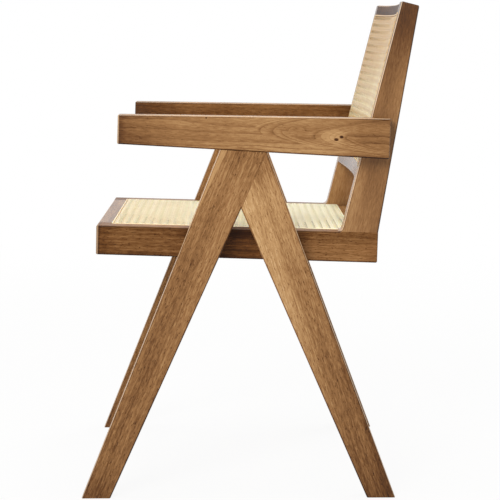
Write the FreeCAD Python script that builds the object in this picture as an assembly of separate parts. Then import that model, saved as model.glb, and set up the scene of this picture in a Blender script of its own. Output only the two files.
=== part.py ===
import FreeCAD, Part
import math
import os

# A cane seated armchair with V shaped legs, in millimetres.
# The chair faces -Y, +X is the sitter's left, and +Z is up.
# While it is drawn, Y = 0 is halfway between the front and the rear toes. At the end
# everything is moved so that the origin is under the middle of the whole chair.

os.makedirs("parts", exist_ok=True)
Vector = FreeCAD.Vector

# Overall size; the height is that of the back's sharp corner, before its edge is eased
overall_width = 515.0
overall_height = 800.5

# V shaped leg frames: boards of one thickness, each leg wider at its top
board_thickness = 32.0
foot_spread = 510.5
front_foot_width = 46.6
rear_foot_width = 46.0
front_leg_top_width = 73.7
rear_leg_top_width = 1.2
apex_offset = 4.6
apex_drop = 92.0

# Armrests: boards set on edge on top of the legs
arm_above_seat = 179.4
arm_fall = 6.8
arm_front_depth = 46.5
arm_rear_depth = 64.4
arm_front_setback = 38.6
arm_rear_setback = 15.7

# Seat frame
seat_front_reach = 228.6
seat_tilt = 1.58
seat_depth = 454.8
rail_front_depth = 47.4
rail_rear_depth = 49.4
seat_border_front = 22.0
seat_border_side = 31.0
seat_border_rear = 39.0

# Back: two tapered stiles and two bowed rails
back_above_seat = 357.1
back_lean = 14.14
stile_thickness = 30.0
stile_base_width = 59.0
stile_top_width = 29.0
stile_foot_radius = 9.0
stile_toe_trim = 2.0
back_rail_thickness = 18.0
back_bow = 10.5
top_rail_border = 17.5
lower_rail_border = 24.4
lower_rail_clearance = 82.0

# Cane panels and the splines that hold their edges
groove_width = 4.5
groove_depth = 6.5
groove_inner_radius = 1.5
seat_lip = 8.5
back_lip = 7.5
cane_thickness = 1.2
cane_tuck = 5.0
spline_proud = 0.9
spline_side_gap = 0.15
spline_bottom_gap = 0.3

# The openings of the cane: columns and rows, fewer and larger than those of the woven cane
seat_opening_columns = 12
seat_opening_rows = 12
back_opening_columns = 12
back_opening_rows = 7
cane_open_share = 0.58

# Eased edges
arris_radius = 2.5
stile_inner_radius = 3.0

# Joints between the wooden pieces
joint_gap = 0.15
tenon_end_gap = 0.6
leg_tenon_thickness = 12.0
leg_tenon_width = 44.0
leg_tenon_length = 26.0
stile_tenon_thickness = 12.0
stile_tenon_width = 34.0
stile_tenon_length = 26.0
seat_tenon_thickness = 12.0
seat_tenon_height = 30.0
seat_tenon_length = 20.0
back_tenon_thickness = 6.5
back_tenon_length = 20.0
back_tenon_margin = 5.0
dowel_diameter = 10.0
dowel_length = 50.0
dowel_bevel = 1.0
dowel_place_shares = (0.26, 0.62)

# Screws from the seat frame into the legs, and from the stiles into the arms
screw_shank = 6.0
screw_head = 10.0
screw_head_height = 4.0
screw_socket = 4.0
screw_socket_depth = 2.4
screw_tip = 5.0
leg_screw_length = 50.0
leg_screw_recess = 6.0
leg_screw_pitch = 18.0
arm_screw_length = 44.0
arm_screw_recess = 9.0
arm_screw_pitch = 28.0
plug_length = 4.6

# One overrun serves all cuts
overrun = 1.0

outer_x = overall_width / 2
board_x = outer_x - board_thickness
stile_x = board_x - stile_thickness
rail_x = board_x - seat_border_side - groove_width - seat_lip
reach = overall_width + overall_height


def side(y, z):
    """A point in the plane of the chair's side view."""
    return Vector(0, y, z)


def leaning(angle):
    """The upward direction that leans to the rear by an angle in degrees."""
    return Vector(0, math.sin(math.radians(angle)), math.cos(math.radians(angle)))


def crossing(point, direction, other_point, other_direction):
    """Where two lines of the side view meet."""
    across = side(-other_direction.z, other_direction.y)
    run = (other_point - point).dot(across) / direction.dot(across)
    return point + direction * run


def board(outline, x_from, x_to):
    """A flat board: an outline of the side view, between two x places."""
    wire = Part.makePolygon(outline + outline[:1])
    wire.translate(Vector(x_from, 0, 0))
    return Part.Face(wire).extrude(Vector(x_to - x_from, 0, 0))


def block(low, high):
    """A box between two corners."""
    size = high - low
    return Part.makeBox(size.x, size.y, size.z, low)


def placed(shape, place):
    """A shape drawn in a local frame, moved to its place in the chair."""
    moved = shape.copy()
    moved.Placement = place.multiply(moved.Placement)
    return moved


def mirrored(shape):
    """The same piece for the other side of the chair."""
    return shape.mirror(Vector(0, 0, 0), Vector(1, 0, 0))


def eased(shape, chosen, radius):
    """The shape with its chosen edges rounded."""
    return shape.makeFillet(radius, [edge for edge in shape.Edges if chosen(edge)])


def edge_middle(edge):
    """The middle point of an edge."""
    return edge.valueAt((edge.FirstParameter + edge.LastParameter) / 2)


def near_line(point, start, direction):
    """Whether a point lies on a line of the side view."""
    offset = side(point.y - start.y, point.z - start.z)
    return offset.cross(direction).Length < joint_gap


def runs_across(edge):
    """Whether an edge runs across the chair, along x."""
    ends = edge.Vertexes
    return ends[0].Point.distanceToPoint(ends[-1].Point) > 0 and \
        abs(ends[0].Point.x - ends[-1].Point.x) > joint_gap


def rounded_plate(half_width, low, high, radius, thickness):
    """A plate in x and y with rounded corners, from z = 0 up."""
    corners = [(half_width, low), (half_width, high), (-half_width, high), (-half_width, low)]
    wire = Part.makePolygon([Vector(x, y, 0) for x, y in corners + corners[:1]])
    plate = Part.Face(wire).extrude(Vector(0, 0, thickness))
    return eased(plate, lambda edge: edge_middle(edge).z not in (0, thickness), radius)


def bolt(length):
    """A screw along +x, with the underside of its head at the origin."""
    shank = screw_shank / 2
    head = screw_head / 2
    profile = [(-screw_head_height, 0), (-screw_head_height, head), (0, head), (0, shank),
               (length - screw_tip, shank), (length, 0)]
    wire = Part.makePolygon([Vector(x, y, 0) for x, y in profile + profile[:1]])
    body = Part.Face(wire).revolve(Vector(0, 0, 0), Vector(1, 0, 0), 360)
    radius = screw_socket / 2
    turns = [math.radians(60 * corner) for corner in range(6)]
    socket = [Vector(-screw_head_height, radius * math.cos(turn), radius * math.sin(turn))
              for turn in turns]
    hexagon = Part.Face(Part.makePolygon(socket + socket[:1]))
    return body.cut(hexagon.extrude(Vector(screw_socket_depth, 0, 0)))


def drilled(length, width, gap):
    """The hole for a round piece along +x, from the origin."""
    return Part.makeCylinder(width / 2 + gap, length, Vector(0, 0, 0), Vector(1, 0, 0))


# The seat frame and the back in the side view
seat_front = side(-seat_front_reach, overall_height - back_above_seat)
seat_place = FreeCAD.Placement(seat_front, FreeCAD.Rotation(Vector(1, 0, 0), -seat_tilt))
stile_base_y = seat_depth - stile_base_width
back_corner = seat_place.multVec(side(stile_base_y, 0))
back_place = FreeCAD.Placement(back_corner, FreeCAD.Rotation(Vector(1, 0, 0), -back_lean))
back_height = (overall_height - back_corner.z) / math.cos(math.radians(back_lean))
stile_top_front = back_place.multVec(side(0, back_height))
stile_top_rear = back_place.multVec(side(stile_top_width, back_height))
stile_rear_base = seat_place.multVec(side(seat_depth, 0))
stile_rear = (stile_top_rear - stile_rear_base).normalize()

# The armrest, whose ends are square to its middle line
rearward = Vector(0, 1, 0)
arm_front = seat_front + side(arm_front_setback, arm_above_seat)
arm_rear_height = side(0, arm_front.z - arm_fall)
arm_rear = crossing(stile_rear_base, stile_rear, arm_rear_height, rearward) - side(arm_rear_setback, 0)
arm_front_low = arm_front - side(0, arm_front_depth)
arm_rear_low = arm_rear - side(0, arm_rear_depth)
arm_underside = (arm_rear_low - arm_front_low).normalize()
arm_top_line = (arm_rear - arm_front).normalize()
arm_axis = (arm_underside + arm_top_line).normalize()
arm_square = side(-arm_axis.z, arm_axis.y)

# The legs: the inner edges meet at the apex, and the front one runs on to the arm as the joint
front_toe = side(-foot_spread / 2, 0)
rear_toe = side(foot_spread / 2, 0)
front_heel = front_toe + side(front_foot_width, 0)
rear_heel = rear_toe - side(rear_foot_width, 0)
apex_top = crossing(arm_front_low, arm_underside, side(apex_offset, 0), Vector(0, 0, 1))
apex = apex_top - side(0, apex_drop)
front_inner = (apex - front_heel).normalize()
rear_inner = (apex - rear_heel).normalize()
leg_joint_top = crossing(front_heel, front_inner, arm_front_low, arm_underside)
front_leg_top = leg_joint_top - arm_underside * front_leg_top_width
rear_leg_top = leg_joint_top + arm_underside * rear_leg_top_width
front_outer = (front_leg_top - front_toe).normalize()
rear_outer = (rear_leg_top - rear_toe).normalize()

seat_groove_x = board_x - seat_border_side
seat_groove_front = seat_border_front
seat_groove_rear = seat_depth - seat_border_rear
back_groove_x = stile_x + back_lip + groove_width
back_groove_low = lower_rail_clearance + lower_rail_border
back_groove_high = back_height - top_rail_border


def leg_frame_region(front):
    """The half of the side view in front of, or behind, the joint between the legs."""
    far = side(-reach, 0) if front else side(reach, 0)
    low = front_heel - front_inner * reach
    high = front_heel + front_inner * reach
    return board([low, high, high + far, low + far], board_x - overrun, outer_x + overrun)


def leg_frame():
    """Both legs of one side as one eased V, before they are parted at their joint."""
    whole = board([front_toe, front_heel, apex, rear_heel, rear_toe, rear_leg_top, front_leg_top],
                  board_x, outer_x)
    lines = ((front_toe, front_outer), (front_heel, front_inner),
             (rear_heel, rear_inner), (rear_toe, rear_outer))

    def long_edge(edge):
        middle = edge_middle(edge)
        return not runs_across(edge) and any(near_line(middle, *line) for line in lines)

    return eased(whole, long_edge, arris_radius)


def leg_tenon(gap, end_gap):
    """The tenon on top of the front leg, or with gaps its mortise in the arm."""
    middle = (front_leg_top + leg_joint_top) * 0.5
    up = side(-arm_underside.z, arm_underside.y)
    half = arm_underside * (leg_tenon_width / 2 + gap)
    low = middle - up * overrun
    high = middle + up * (leg_tenon_length + end_gap)
    centre = (board_x + outer_x) / 2
    side_room = leg_tenon_thickness / 2 + gap
    return board([low - half, low + half, high + half, high - half], centre - side_room, centre + side_room)


def dowels():
    """Two dowels that cross the joint between the legs of one side."""
    across = side(front_inner.z, -front_inner.y)
    centre = Vector((board_x + outer_x) / 2, 0, 0)
    pieces = []
    for share in dowel_place_shares:
        middle = apex + (leg_joint_top - apex) * share + centre
        start = middle - across * (dowel_length / 2)
        pin = Part.makeCylinder(dowel_diameter / 2, dowel_length, start, across)
        rims = [edge for edge in pin.Edges if edge.Closed]
        pin = pin.makeChamfer(dowel_bevel, rims)
        hole_start = start - across * tenon_end_gap
        hole_length = dowel_length + 2 * tenon_end_gap
        hole = Part.makeCylinder(dowel_diameter / 2 + joint_gap, hole_length, hole_start, across)
        pieces.append((pin, hole))
    return pieces


def leg_screw_places():
    """The points on the inner face of the seat rail where screws enter."""
    places = []
    legs = ((front_toe, front_outer, front_heel, front_inner),
            (rear_toe, rear_outer, rear_heel, rear_inner))
    rail_middle = seat_place.multVec(side(seat_depth / 2, -(rail_front_depth + rail_rear_depth) / 4))
    rail_line = side(math.cos(math.radians(seat_tilt)), -math.sin(math.radians(seat_tilt)))
    for toe, outer, heel, inner in legs:
        outer_point = crossing(toe, outer, rail_middle, rail_line)
        inner_point = crossing(heel, inner, rail_middle, rail_line)
        middle = (outer_point + inner_point) * 0.5
        along = (outer + inner).normalize()
        for way in (-1, 1):
            places.append(middle + along * (way * leg_screw_pitch / 2) + Vector(rail_x, 0, 0))
    return places


def arm_screw_places():
    """The points on the inner face of the stile where the arm screws enter."""
    arm_middle = (arm_front + arm_front_low) * 0.5
    front_point = crossing(back_corner, leaning(back_lean), arm_middle, arm_axis)
    rear_point = (arm_rear + arm_rear_low) * 0.5
    middle = (front_point + rear_point) * 0.5
    up = leaning(back_lean) * (arm_screw_pitch / 2)
    return [middle + up * way + Vector(stile_x, 0, 0) for way in (-1, 1)]


def side_assembly():
    """One seat side rail and its stile as one eased board, before they are parted."""
    rail_outline = [side(0, 0), side(seat_depth, 0), side(seat_depth, -rail_rear_depth),
                    side(0, -rail_front_depth)]
    rail = placed(board(rail_outline, rail_x, board_x), seat_place)
    sunk = side(0, -rail_front_depth / 2)
    stile = board([back_corner + sunk, back_corner, stile_top_front, stile_top_rear,
                   stile_rear_base - stile_rear * (rail_front_depth / 2)], stile_x, board_x)

    def inner_rear_edge(edge):
        middle = edge_middle(edge)
        return abs(middle.x - stile_x) < joint_gap and near_line(middle, stile_top_rear, stile_rear)

    stile = eased(stile, inner_rear_edge, stile_inner_radius)
    whole = rail.fuse(stile.cut(rail)).removeSplitter()

    def stile_foot(edge):
        return runs_across(edge) and near_line(edge_middle(edge), back_corner, leaning(back_lean)) \
            and near_line(edge_middle(edge), back_corner, leaning(90 + seat_tilt))

    whole = eased(whole, stile_foot, stile_foot_radius)
    front_low = seat_place.multVec(side(0, -rail_front_depth))
    stile_top = (stile_top_rear - stile_top_front).normalize()
    rear_low = seat_place.multVec(side(seat_depth, -rail_rear_depth))
    rounded_corners = (front_low, seat_front, rear_low, stile_top_front, stile_top_rear)

    def eased_edge(edge):
        middle = edge_middle(edge)
        if runs_across(edge):
            flat = side(middle.y, middle.z)
            return any(flat.distanceToPoint(corner) < joint_gap for corner in rounded_corners)
        if abs(middle.x - board_x) < joint_gap:
            return True
        return abs(middle.x - stile_x) < joint_gap and near_line(middle, stile_top_front, stile_top)

    return eased(whole, eased_edge, arris_radius)


def stile_zone():
    """The space above the seat rail that the stile takes up."""
    toe_run = stile_foot_radius * math.tan(math.radians((90 - seat_tilt - back_lean) / 2))
    start = stile_base_y - toe_run + stile_toe_trim
    return placed(block(Vector(rail_x - overrun, start, 0),
                        Vector(outer_x, seat_depth + reach, reach)), seat_place)


def stile_tenon(gap, end_gap):
    """The tenon under the stile, or with gaps its mortise in the seat rail."""
    middle_x = (stile_x + board_x) / 2
    middle_y = seat_depth - stile_base_width / 2
    half_x = stile_tenon_thickness / 2 + gap
    half_y = stile_tenon_width / 2 + gap
    return placed(block(Vector(middle_x - half_x, middle_y - half_y, -stile_tenon_length - end_gap),
                        Vector(middle_x + half_x, middle_y + half_y, overrun)), seat_place)


def seat_tenons(rail_middle_y, gap, end_gap):
    """The tenons at both ends of a seat cross rail, or with gaps their mortises."""
    half_x = rail_x + seat_tenon_length + end_gap
    half_y = seat_tenon_thickness / 2 + gap
    half_z = seat_tenon_height / 2 + gap
    middle_z = -(groove_depth + rail_front_depth) / 2
    return placed(block(Vector(-half_x, rail_middle_y - half_y, middle_z - half_z),
                        Vector(half_x, rail_middle_y + half_y, middle_z + half_z)), seat_place)


def cross_rail(front_y, rear_y, outer_y):
    """A seat rail that runs across, with its outer edges eased and its tenons."""
    drop = (rail_rear_depth - rail_front_depth) / seat_depth
    outline = [side(front_y, 0), side(rear_y, 0), side(rear_y, -rail_front_depth - drop * rear_y),
               side(front_y, -rail_front_depth - drop * front_y)]

    def outer_edge(edge):
        return runs_across(edge) and abs(edge_middle(edge).y - outer_y) < joint_gap

    rail = eased(board(outline, -rail_x, rail_x), outer_edge, arris_radius)
    return placed(rail, seat_place).fuse(seat_tenons((front_y + rear_y) / 2, 0, 0))


def corner_radius(inset):
    """The corner radius of an outline that lies inside a groove's outer edge."""
    return groove_inner_radius + groove_width - inset


def seat_plate(inset, bottom, top):
    """A plate inside the seat groove's outer edge, between two heights."""
    plate = rounded_plate(seat_groove_x - inset, seat_groove_front + inset, seat_groove_rear - inset,
                          corner_radius(inset), top - bottom)
    plate.translate(Vector(0, 0, bottom))
    return placed(plate, seat_place)


def seat_groove():
    """The groove round the seat opening."""
    return seat_plate(0, -groove_depth, overrun).cut(seat_plate(groove_width, -groove_depth, overrun))


def cane_openings(half_width, low, high, columns, rows):
    """A grid of upright openings in x and y that fills the space between the frame's rails."""
    pitch = Vector(2 * half_width / columns, (high - low) / rows, 0)
    margin = pitch * ((1 - cane_open_share) / 2)
    depth = Vector(0, 0, reach / 2)
    corners = [Vector(-half_width + column * pitch.x, low + row * pitch.y, 0)
               for column in range(columns) for row in range(rows)]
    return Part.makeCompound([block(corner + margin - depth, corner + pitch - margin + depth)
                              for corner in corners])


def seat_cane():
    """The seat's openwork cane panel, with its edges tucked down into the groove."""
    edge = groove_width - cane_thickness
    whole = seat_plate(edge, -cane_tuck, cane_thickness)
    openings = cane_openings(rail_x, front_rail_rear, rear_rail_front, seat_opening_columns, seat_opening_rows)
    return whole.cut([seat_plate(groove_width, -cane_tuck, 0), placed(openings, seat_place)])


def seat_spline():
    """The spline that wedges the seat cane in its groove."""
    bottom = spline_bottom_gap - groove_depth
    inner = groove_width - cane_thickness - spline_side_gap
    return seat_plate(spline_side_gap, bottom, spline_proud).cut(seat_plate(inner, bottom, spline_proud))


def back_layer(front, rear, low, high):
    """A layer behind the bowed front of the back, drawn across x, in and up.

    The front line is straight on the stiles and an arc between them. The layer lies
    between two distances behind that line and between two heights."""
    def line(depth):
        points = [Vector(x, y + depth, low) for x, y in
                  ((-board_x, 0), (-stile_x, 0), (0, back_bow), (stile_x, 0), (board_x, 0))]
        return [Part.LineSegment(points[0], points[1]).toShape(),
                Part.Arc(points[1], points[2], points[3]).toShape(),
                Part.LineSegment(points[3], points[4]).toShape()]

    ends = [Part.LineSegment(Vector(x, front, low), Vector(x, rear, low)).toShape()
            for x in (-board_x, board_x)]
    wire = Part.Wire(Part.__sortEdges__(line(front) + line(rear) + ends))
    return Part.Face(wire).extrude(Vector(0, 0, high - low))


def back_window(inset):
    """An upright rounded plate through the back, inside its groove's outer edge."""
    plate = rounded_plate(back_groove_x - inset, back_groove_low + inset, back_groove_high - inset,
                          corner_radius(inset), reach)
    plate.rotate(Vector(0, 0, 0), Vector(1, 0, 0), 90)
    plate.translate(Vector(0, reach / 2, 0))
    return plate


def back_frame(inner, outer):
    """An upright rounded frame through the back, between two insets from its groove's edge."""
    return back_window(outer).cut(back_window(inner))


def back_groove():
    """The groove round the back opening."""
    layer = back_layer(-overrun, groove_depth, 0, back_height)
    return placed(layer.common(back_frame(groove_width, 0)), back_place)


def back_cane():
    """The back's bowed openwork cane panel with its tucked edges."""
    edge = groove_width - cane_thickness
    sheet = back_layer(-cane_thickness, 0, 0, back_height).common(back_window(edge))
    tuck = back_layer(0, cane_tuck, 0, back_height).common(back_frame(groove_width, edge))
    openings = cane_openings(stile_x, lower_rail_high, top_rail_low, back_opening_columns, back_opening_rows)
    openings.rotate(Vector(0, 0, 0), Vector(1, 0, 0), 90)
    return placed(sheet.fuse(tuck).removeSplitter().cut(openings), back_place)


def back_spline():
    """The spline that wedges the back cane in its groove."""
    inner = groove_width - cane_thickness - spline_side_gap
    layer = back_layer(-spline_proud, groove_depth - spline_bottom_gap, 0, back_height)
    return placed(layer.common(back_frame(inner, spline_side_gap)), back_place)


def back_tenons(low, high, gap, end_gap):
    """The tenons of a bowed back rail, or with gaps their mortises in the stiles."""
    half_x = stile_x + back_tenon_length + end_gap
    start = (back_rail_thickness + groove_depth - back_tenon_thickness) / 2
    return placed(block(Vector(-half_x, start - gap, low + back_tenon_margin - gap),
                        Vector(half_x, start + back_tenon_thickness + gap, high - back_tenon_margin + gap)),
                  back_place)


def back_rail(low, high):
    """A bowed rail between the stiles, with its eased edges and its tenons."""
    between = block(Vector(-stile_x, -reach, low), Vector(stile_x, reach, high))
    rail = back_layer(0, back_rail_thickness, low, high).common(between)

    def curved_edge(edge):
        return runs_across(edge) and abs(abs(edge_middle(edge).x) - stile_x) > joint_gap

    rail = eased(rail, curved_edge, arris_radius)
    ends = back_tenons(low, high, 0, 0).cut(placed(between, back_place))
    return placed(rail, back_place).fuse(ends)


def screws(places, length, recess):
    """Screws that run outwards along +x, their heads sunk below the face."""
    made = []
    for place in places:
        screw = bolt(length)
        screw.translate(place + Vector(recess, 0, 0))
        made.append(screw)
    return made


def screw_holes(places, length, recess):
    """The holes and counterbores for the same screws."""
    made = []
    for place in places:
        shank = drilled(length + tenon_end_gap, screw_shank, joint_gap)
        shank.translate(place + Vector(recess, 0, 0))
        counterbore = drilled(recess + overrun, screw_head, joint_gap)
        counterbore.translate(place - Vector(overrun, 0, 0))
        made.append(shank.fuse(counterbore))
    return made


def screw_plugs(places):
    """The round wooden plugs that close the counterbores, flush with the face."""
    made = []
    for place in places:
        plug = drilled(plug_length, screw_head, 0)
        plug.translate(place)
        made.append(plug)
    return made


lower_rail_high = back_groove_low + groove_width + back_lip
top_rail_low = back_groove_high - groove_width - back_lip
front_rail_rear = seat_groove_front + groove_width + seat_lip
rear_rail_front = seat_groove_rear - groove_width - seat_lip

leg_screw_holes = screw_holes(leg_screw_places(), leg_screw_length, leg_screw_recess)
arm_screw_holes = screw_holes(arm_screw_places(), arm_screw_length, arm_screw_recess)
dowel_pairs = dowels()
dowel_pins = [pin for pin, hole in dowel_pairs]
dowel_holes = [hole for pin, hole in dowel_pairs]

v_frame = leg_frame()
front_leg = v_frame.common(leg_frame_region(True)).fuse(leg_tenon(0, 0)).cut(dowel_holes + leg_screw_holes)
rear_leg = v_frame.common(leg_frame_region(False)).cut(dowel_holes + leg_screw_holes)

arm_outline = [arm_front, arm_rear,
               crossing(arm_rear, arm_square, arm_rear_low, arm_underside),
               crossing(arm_front, arm_square, arm_front_low, arm_underside)]
arm_blank = eased(board(arm_outline, board_x, outer_x), lambda edge: True, arris_radius)
armrest = arm_blank.cut([leg_tenon(joint_gap, tenon_end_gap)] + arm_screw_holes)

front_rail_middle = front_rail_rear / 2
rear_rail_middle = (rear_rail_front + seat_depth) / 2
side_board = side_assembly()
seat_mortises = [seat_tenons(middle, joint_gap, tenon_end_gap)
                 for middle in (front_rail_middle, rear_rail_middle)]
back_mortises = [back_tenons(low, high, joint_gap, tenon_end_gap)
                 for low, high in ((lower_rail_clearance, lower_rail_high), (top_rail_low, back_height))]
side_rail = side_board.cut([stile_zone(), seat_groove(), stile_tenon(joint_gap, tenon_end_gap)]
                           + seat_mortises + leg_screw_holes)
stile = side_board.common(stile_zone()).fuse(stile_tenon(0, 0)).cut(
    [back_groove()] + back_mortises + arm_screw_holes)

pieces = {
    "seat_front_rail": cross_rail(0, front_rail_rear, 0).cut(seat_groove()),
    "seat_rear_rail": cross_rail(rear_rail_front, seat_depth, seat_depth).cut(seat_groove()),
    "back_lower_rail": back_rail(lower_rail_clearance, lower_rail_high).cut(back_groove()),
    "back_top_rail": back_rail(top_rail_low, back_height).cut(back_groove()),
    "seat_cane": seat_cane(),
    "seat_cane_spline": seat_spline(),
    "back_cane": back_cane(),
    "back_cane_spline": back_spline(),
}
for name, piece in (("front_leg", front_leg), ("rear_leg", rear_leg), ("armrest", armrest),
                    ("seat_side_rail", side_rail), ("back_stile", stile)):
    pieces["left_" + name] = piece
    pieces["right_" + name] = mirrored(piece)
fasteners = {
    "leg_joint_dowels": dowel_pins,
    "leg_screws": screws(leg_screw_places(), leg_screw_length, leg_screw_recess),
    "arm_screws": screws(arm_screw_places(), arm_screw_length, arm_screw_recess),
    "arm_screw_plugs": screw_plugs(arm_screw_places()),
}
for name, solids in fasteners.items():
    pieces[name] = Part.makeCompound(solids + [mirrored(solid) for solid in solids])

box = Part.makeCompound(list(pieces.values())).optimalBoundingBox()
centre = Vector(-(box.XMin + box.XMax) / 2, -(box.YMin + box.YMax) / 2, 0)
for name, piece in pieces.items():
    final = piece.copy()
    final.translate(centre)
    final.exportStep("parts/%s.step" % name)
    print(name, len(final.Solids), "solid(s)", round(final.Volume / 1000, 1), "cm3", final.isValid())
print("box", [round(side_length, 2) for side_length in (box.XLength, box.YLength, box.ZLength)])
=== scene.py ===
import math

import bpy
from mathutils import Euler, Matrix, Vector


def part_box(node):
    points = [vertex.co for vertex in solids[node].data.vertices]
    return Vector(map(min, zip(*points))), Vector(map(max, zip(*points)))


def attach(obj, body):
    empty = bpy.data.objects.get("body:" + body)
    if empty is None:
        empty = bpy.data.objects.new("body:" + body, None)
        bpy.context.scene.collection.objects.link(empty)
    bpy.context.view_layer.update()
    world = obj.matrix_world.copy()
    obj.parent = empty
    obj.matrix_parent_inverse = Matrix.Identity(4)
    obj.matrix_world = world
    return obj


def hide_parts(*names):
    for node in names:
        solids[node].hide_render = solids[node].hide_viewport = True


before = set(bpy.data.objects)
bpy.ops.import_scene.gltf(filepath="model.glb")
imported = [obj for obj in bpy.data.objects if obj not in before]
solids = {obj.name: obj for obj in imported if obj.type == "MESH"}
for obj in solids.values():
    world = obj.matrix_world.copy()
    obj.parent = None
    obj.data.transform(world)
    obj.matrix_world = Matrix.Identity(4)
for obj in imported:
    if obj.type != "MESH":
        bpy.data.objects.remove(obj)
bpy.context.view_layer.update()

# %% [markdown]
# The chair is already built in solid teak, piece by piece, in metres, with +Z up and its front towards -Y.
# What is left is how it looks: light, grain, and the cane that is woven across the seat and the back.
# Whatever the solid chair left selected is let go, because Blender's operators act on what is selected.

MM = 0.001
bpy.ops.object.select_all(action="DESELECT")


def furthest(node, direction):
    """The point of a solid piece that lies furthest in one direction."""
    direction = Vector(direction)
    return max((vertex.co for vertex in solids[node].data.vertices), key=direction.dot).copy()


# %% [markdown]
# A chair seen square from its side is a picture of its leg frame, its arm and a thin slice of its seat.
# The place and the lens come from the near and the far edges of the chair: where the lines through
# both meet is where the camera looks along the chair's width, and how much smaller the far side looks
# tells how far away the camera stands. The lens is long, and nothing is shifted.

# %% The camera
camera_place = (2.8513, -0.0274, 0.7533)
looks_down = math.radians(7.6)
turned_aside = math.radians(0.66)
lens_length = 118.15
lens = bpy.data.cameras.new("side_view")
lens.lens = lens_length
camera = bpy.data.objects.new("side_view", lens)
camera.location = camera_place
camera.rotation_euler = Euler((math.pi / 2 - looks_down, 0, math.pi / 2 - turned_aside))
bpy.context.scene.collection.objects.link(camera)
bpy.context.scene.camera = camera
bpy.context.scene.view_settings.view_transform = "Standard"
print("camera", [round(part, 3) for part in camera.location], "lens", lens.lens)

# %% [markdown]
# Shader maths reads best as plain sums. A small class wraps one socket of a material, so that
# `0.5 + grain * 0.2` adds its Math nodes by itself. Any other node comes from one method, which sets
# the node up first and then fills its sockets with numbers or with links.

# %% Sums on sockets
class Value:
    """One output socket of a material's nodes, which can be used in sums."""

    def __init__(self, tree, socket=None):
        self.tree = tree
        self.socket = socket

    def node(self, kind, inputs=None, output=0, stops=(), **settings):
        """Adds a node with its settings, its ramp's stops and its inputs, and gives one output."""
        made = self.tree.nodes.new(kind)
        for name, setting in settings.items():
            setattr(made, name, setting)
        if stops:
            ramp = made.color_ramp
            ramp.elements[0].position, ramp.elements[0].color = stops[0]
            ramp.elements[-1].position, ramp.elements[-1].color = stops[-1]
            for position, colour in stops[1:-1]:
                ramp.elements.new(position).color = colour
        for name, given in (inputs or {}).items():
            if isinstance(given, Value):
                self.tree.links.new(given.socket, made.inputs[name])
            else:
                made.inputs[name].default_value = given
        return Value(self.tree, made.outputs[output])

    def into(self, socket):
        """Links this value to a socket of the shader."""
        self.tree.links.new(self.socket, socket)

    def math(self, operation, first, second=0.0, **settings):
        """One Math node."""
        return self.node("ShaderNodeMath", {0: first, 1: second}, operation=operation, **settings)

    def vector(self, operation, inputs, **settings):
        """One Vector Math node."""
        return self.node("ShaderNodeVectorMath", inputs, operation=operation, **settings)

    def __add__(self, other):
        return self.math("ADD", self, other)

    def __sub__(self, other):
        return self.math("SUBTRACT", self, other)

    def __rsub__(self, other):
        return self.math("SUBTRACT", other, self)

    def __mul__(self, other):
        return self.math("MULTIPLY", self, other)

    def __truediv__(self, other):
        return self.math("DIVIDE", self, other)

    def __pow__(self, other):
        return self.math("POWER", self, other)

    def __neg__(self):
        return self.math("MULTIPLY", self, -1.0)

    __radd__ = __add__
    __rmul__ = __mul__

    def size(self):
        """The value without its sign."""
        return self.math("ABSOLUTE", self)

    def larger(self, other):
        """The larger of two values."""
        return self.math("MAXIMUM", self, other)

    def smaller(self, other):
        """The smaller of two values."""
        return self.math("MINIMUM", self, other)

    def ramp(self, low, high):
        """A soft step that goes from 0 at low to 1 at high."""
        made = {"Value": self, "From Min": low, "From Max": high}
        return self.node("ShaderNodeMapRange", made, interpolation_type="SMOOTHSTEP")

    def scaled(self, scales):
        """A place, stretched by three numbers."""
        return self.vector("MULTIPLY", {0: self, 1: scales})

    def dot(self, direction):
        """How far a direction points along another."""
        return self.vector("DOT_PRODUCT", {0: self, 1: direction}, output="Value")

    def length(self):
        """How far a place is from the middle."""
        return self.vector("LENGTH", {0: self}, output="Value")

    def parts(self):
        """The three numbers of a place."""
        split = self.node("ShaderNodeSeparateXYZ", {0: self}).socket.node
        return [Value(self.tree, output) for output in split.outputs]

    def noise(self, scales, detail=2.0):
        """Smooth noise from -0.5 to 0.5 over a place, with so many lumps to the metre each way."""
        inputs = {"Vector": self.scaled(scales), "Scale": 1.0, "Detail": detail}
        return self.node("ShaderNodeTexNoise", inputs) - 0.5

    def line_noise(self, scale, detail=1.0):
        """Smooth noise from -0.5 to 0.5 along one number."""
        inputs = {"W": self * scale, "Scale": 1.0, "Detail": detail}
        return self.node("ShaderNodeTexNoise", inputs, noise_dimensions="1D") - 0.5

    def toned(self, stops):
        """A colour from a ramp of stops, by this value."""
        return self.node("ShaderNodeValToRGB", {0: self}, stops=stops)

    def bump(self, strength, distance):
        """A surface that rises and falls with this value."""
        made = {"Height": self, "Strength": strength, "Distance": distance}
        return self.node("ShaderNodeBump", made)

    def blended(self, first, second):
        """A colour between two others, by this value."""
        inputs = {0: self, 6: first, 7: second}
        return self.node("ShaderNodeMix", inputs, output=2, data_type="RGBA")


def srgb(red, green, blue):
    """A colour as a picture shows it, from 0 to 255, as light."""
    shares = [part / 255 for part in (red, green, blue)]
    light = [part / 12.92 if part <= 0.04045 else ((part + 0.055) / 1.055) ** 2.4 for part in shares]
    return (*light, 1.0)


def new_finish(name):
    """A material, a start for its sums, and its shader's sockets."""
    material = bpy.data.materials.new(name)
    material.use_nodes = True
    return material, Value(material.node_tree), material.node_tree.nodes["Principled BSDF"].inputs


print("sums add nodes by themselves")

# %% [markdown]
# The studio is a pale floor that runs off into white. White comes from the floor and the world as the
# camera, mirrors and glass see them, not from more light, so the wood keeps its own depth. The floor is
# a little less than white near the chair, so that the chair's faint shadow stays on it.

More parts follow.
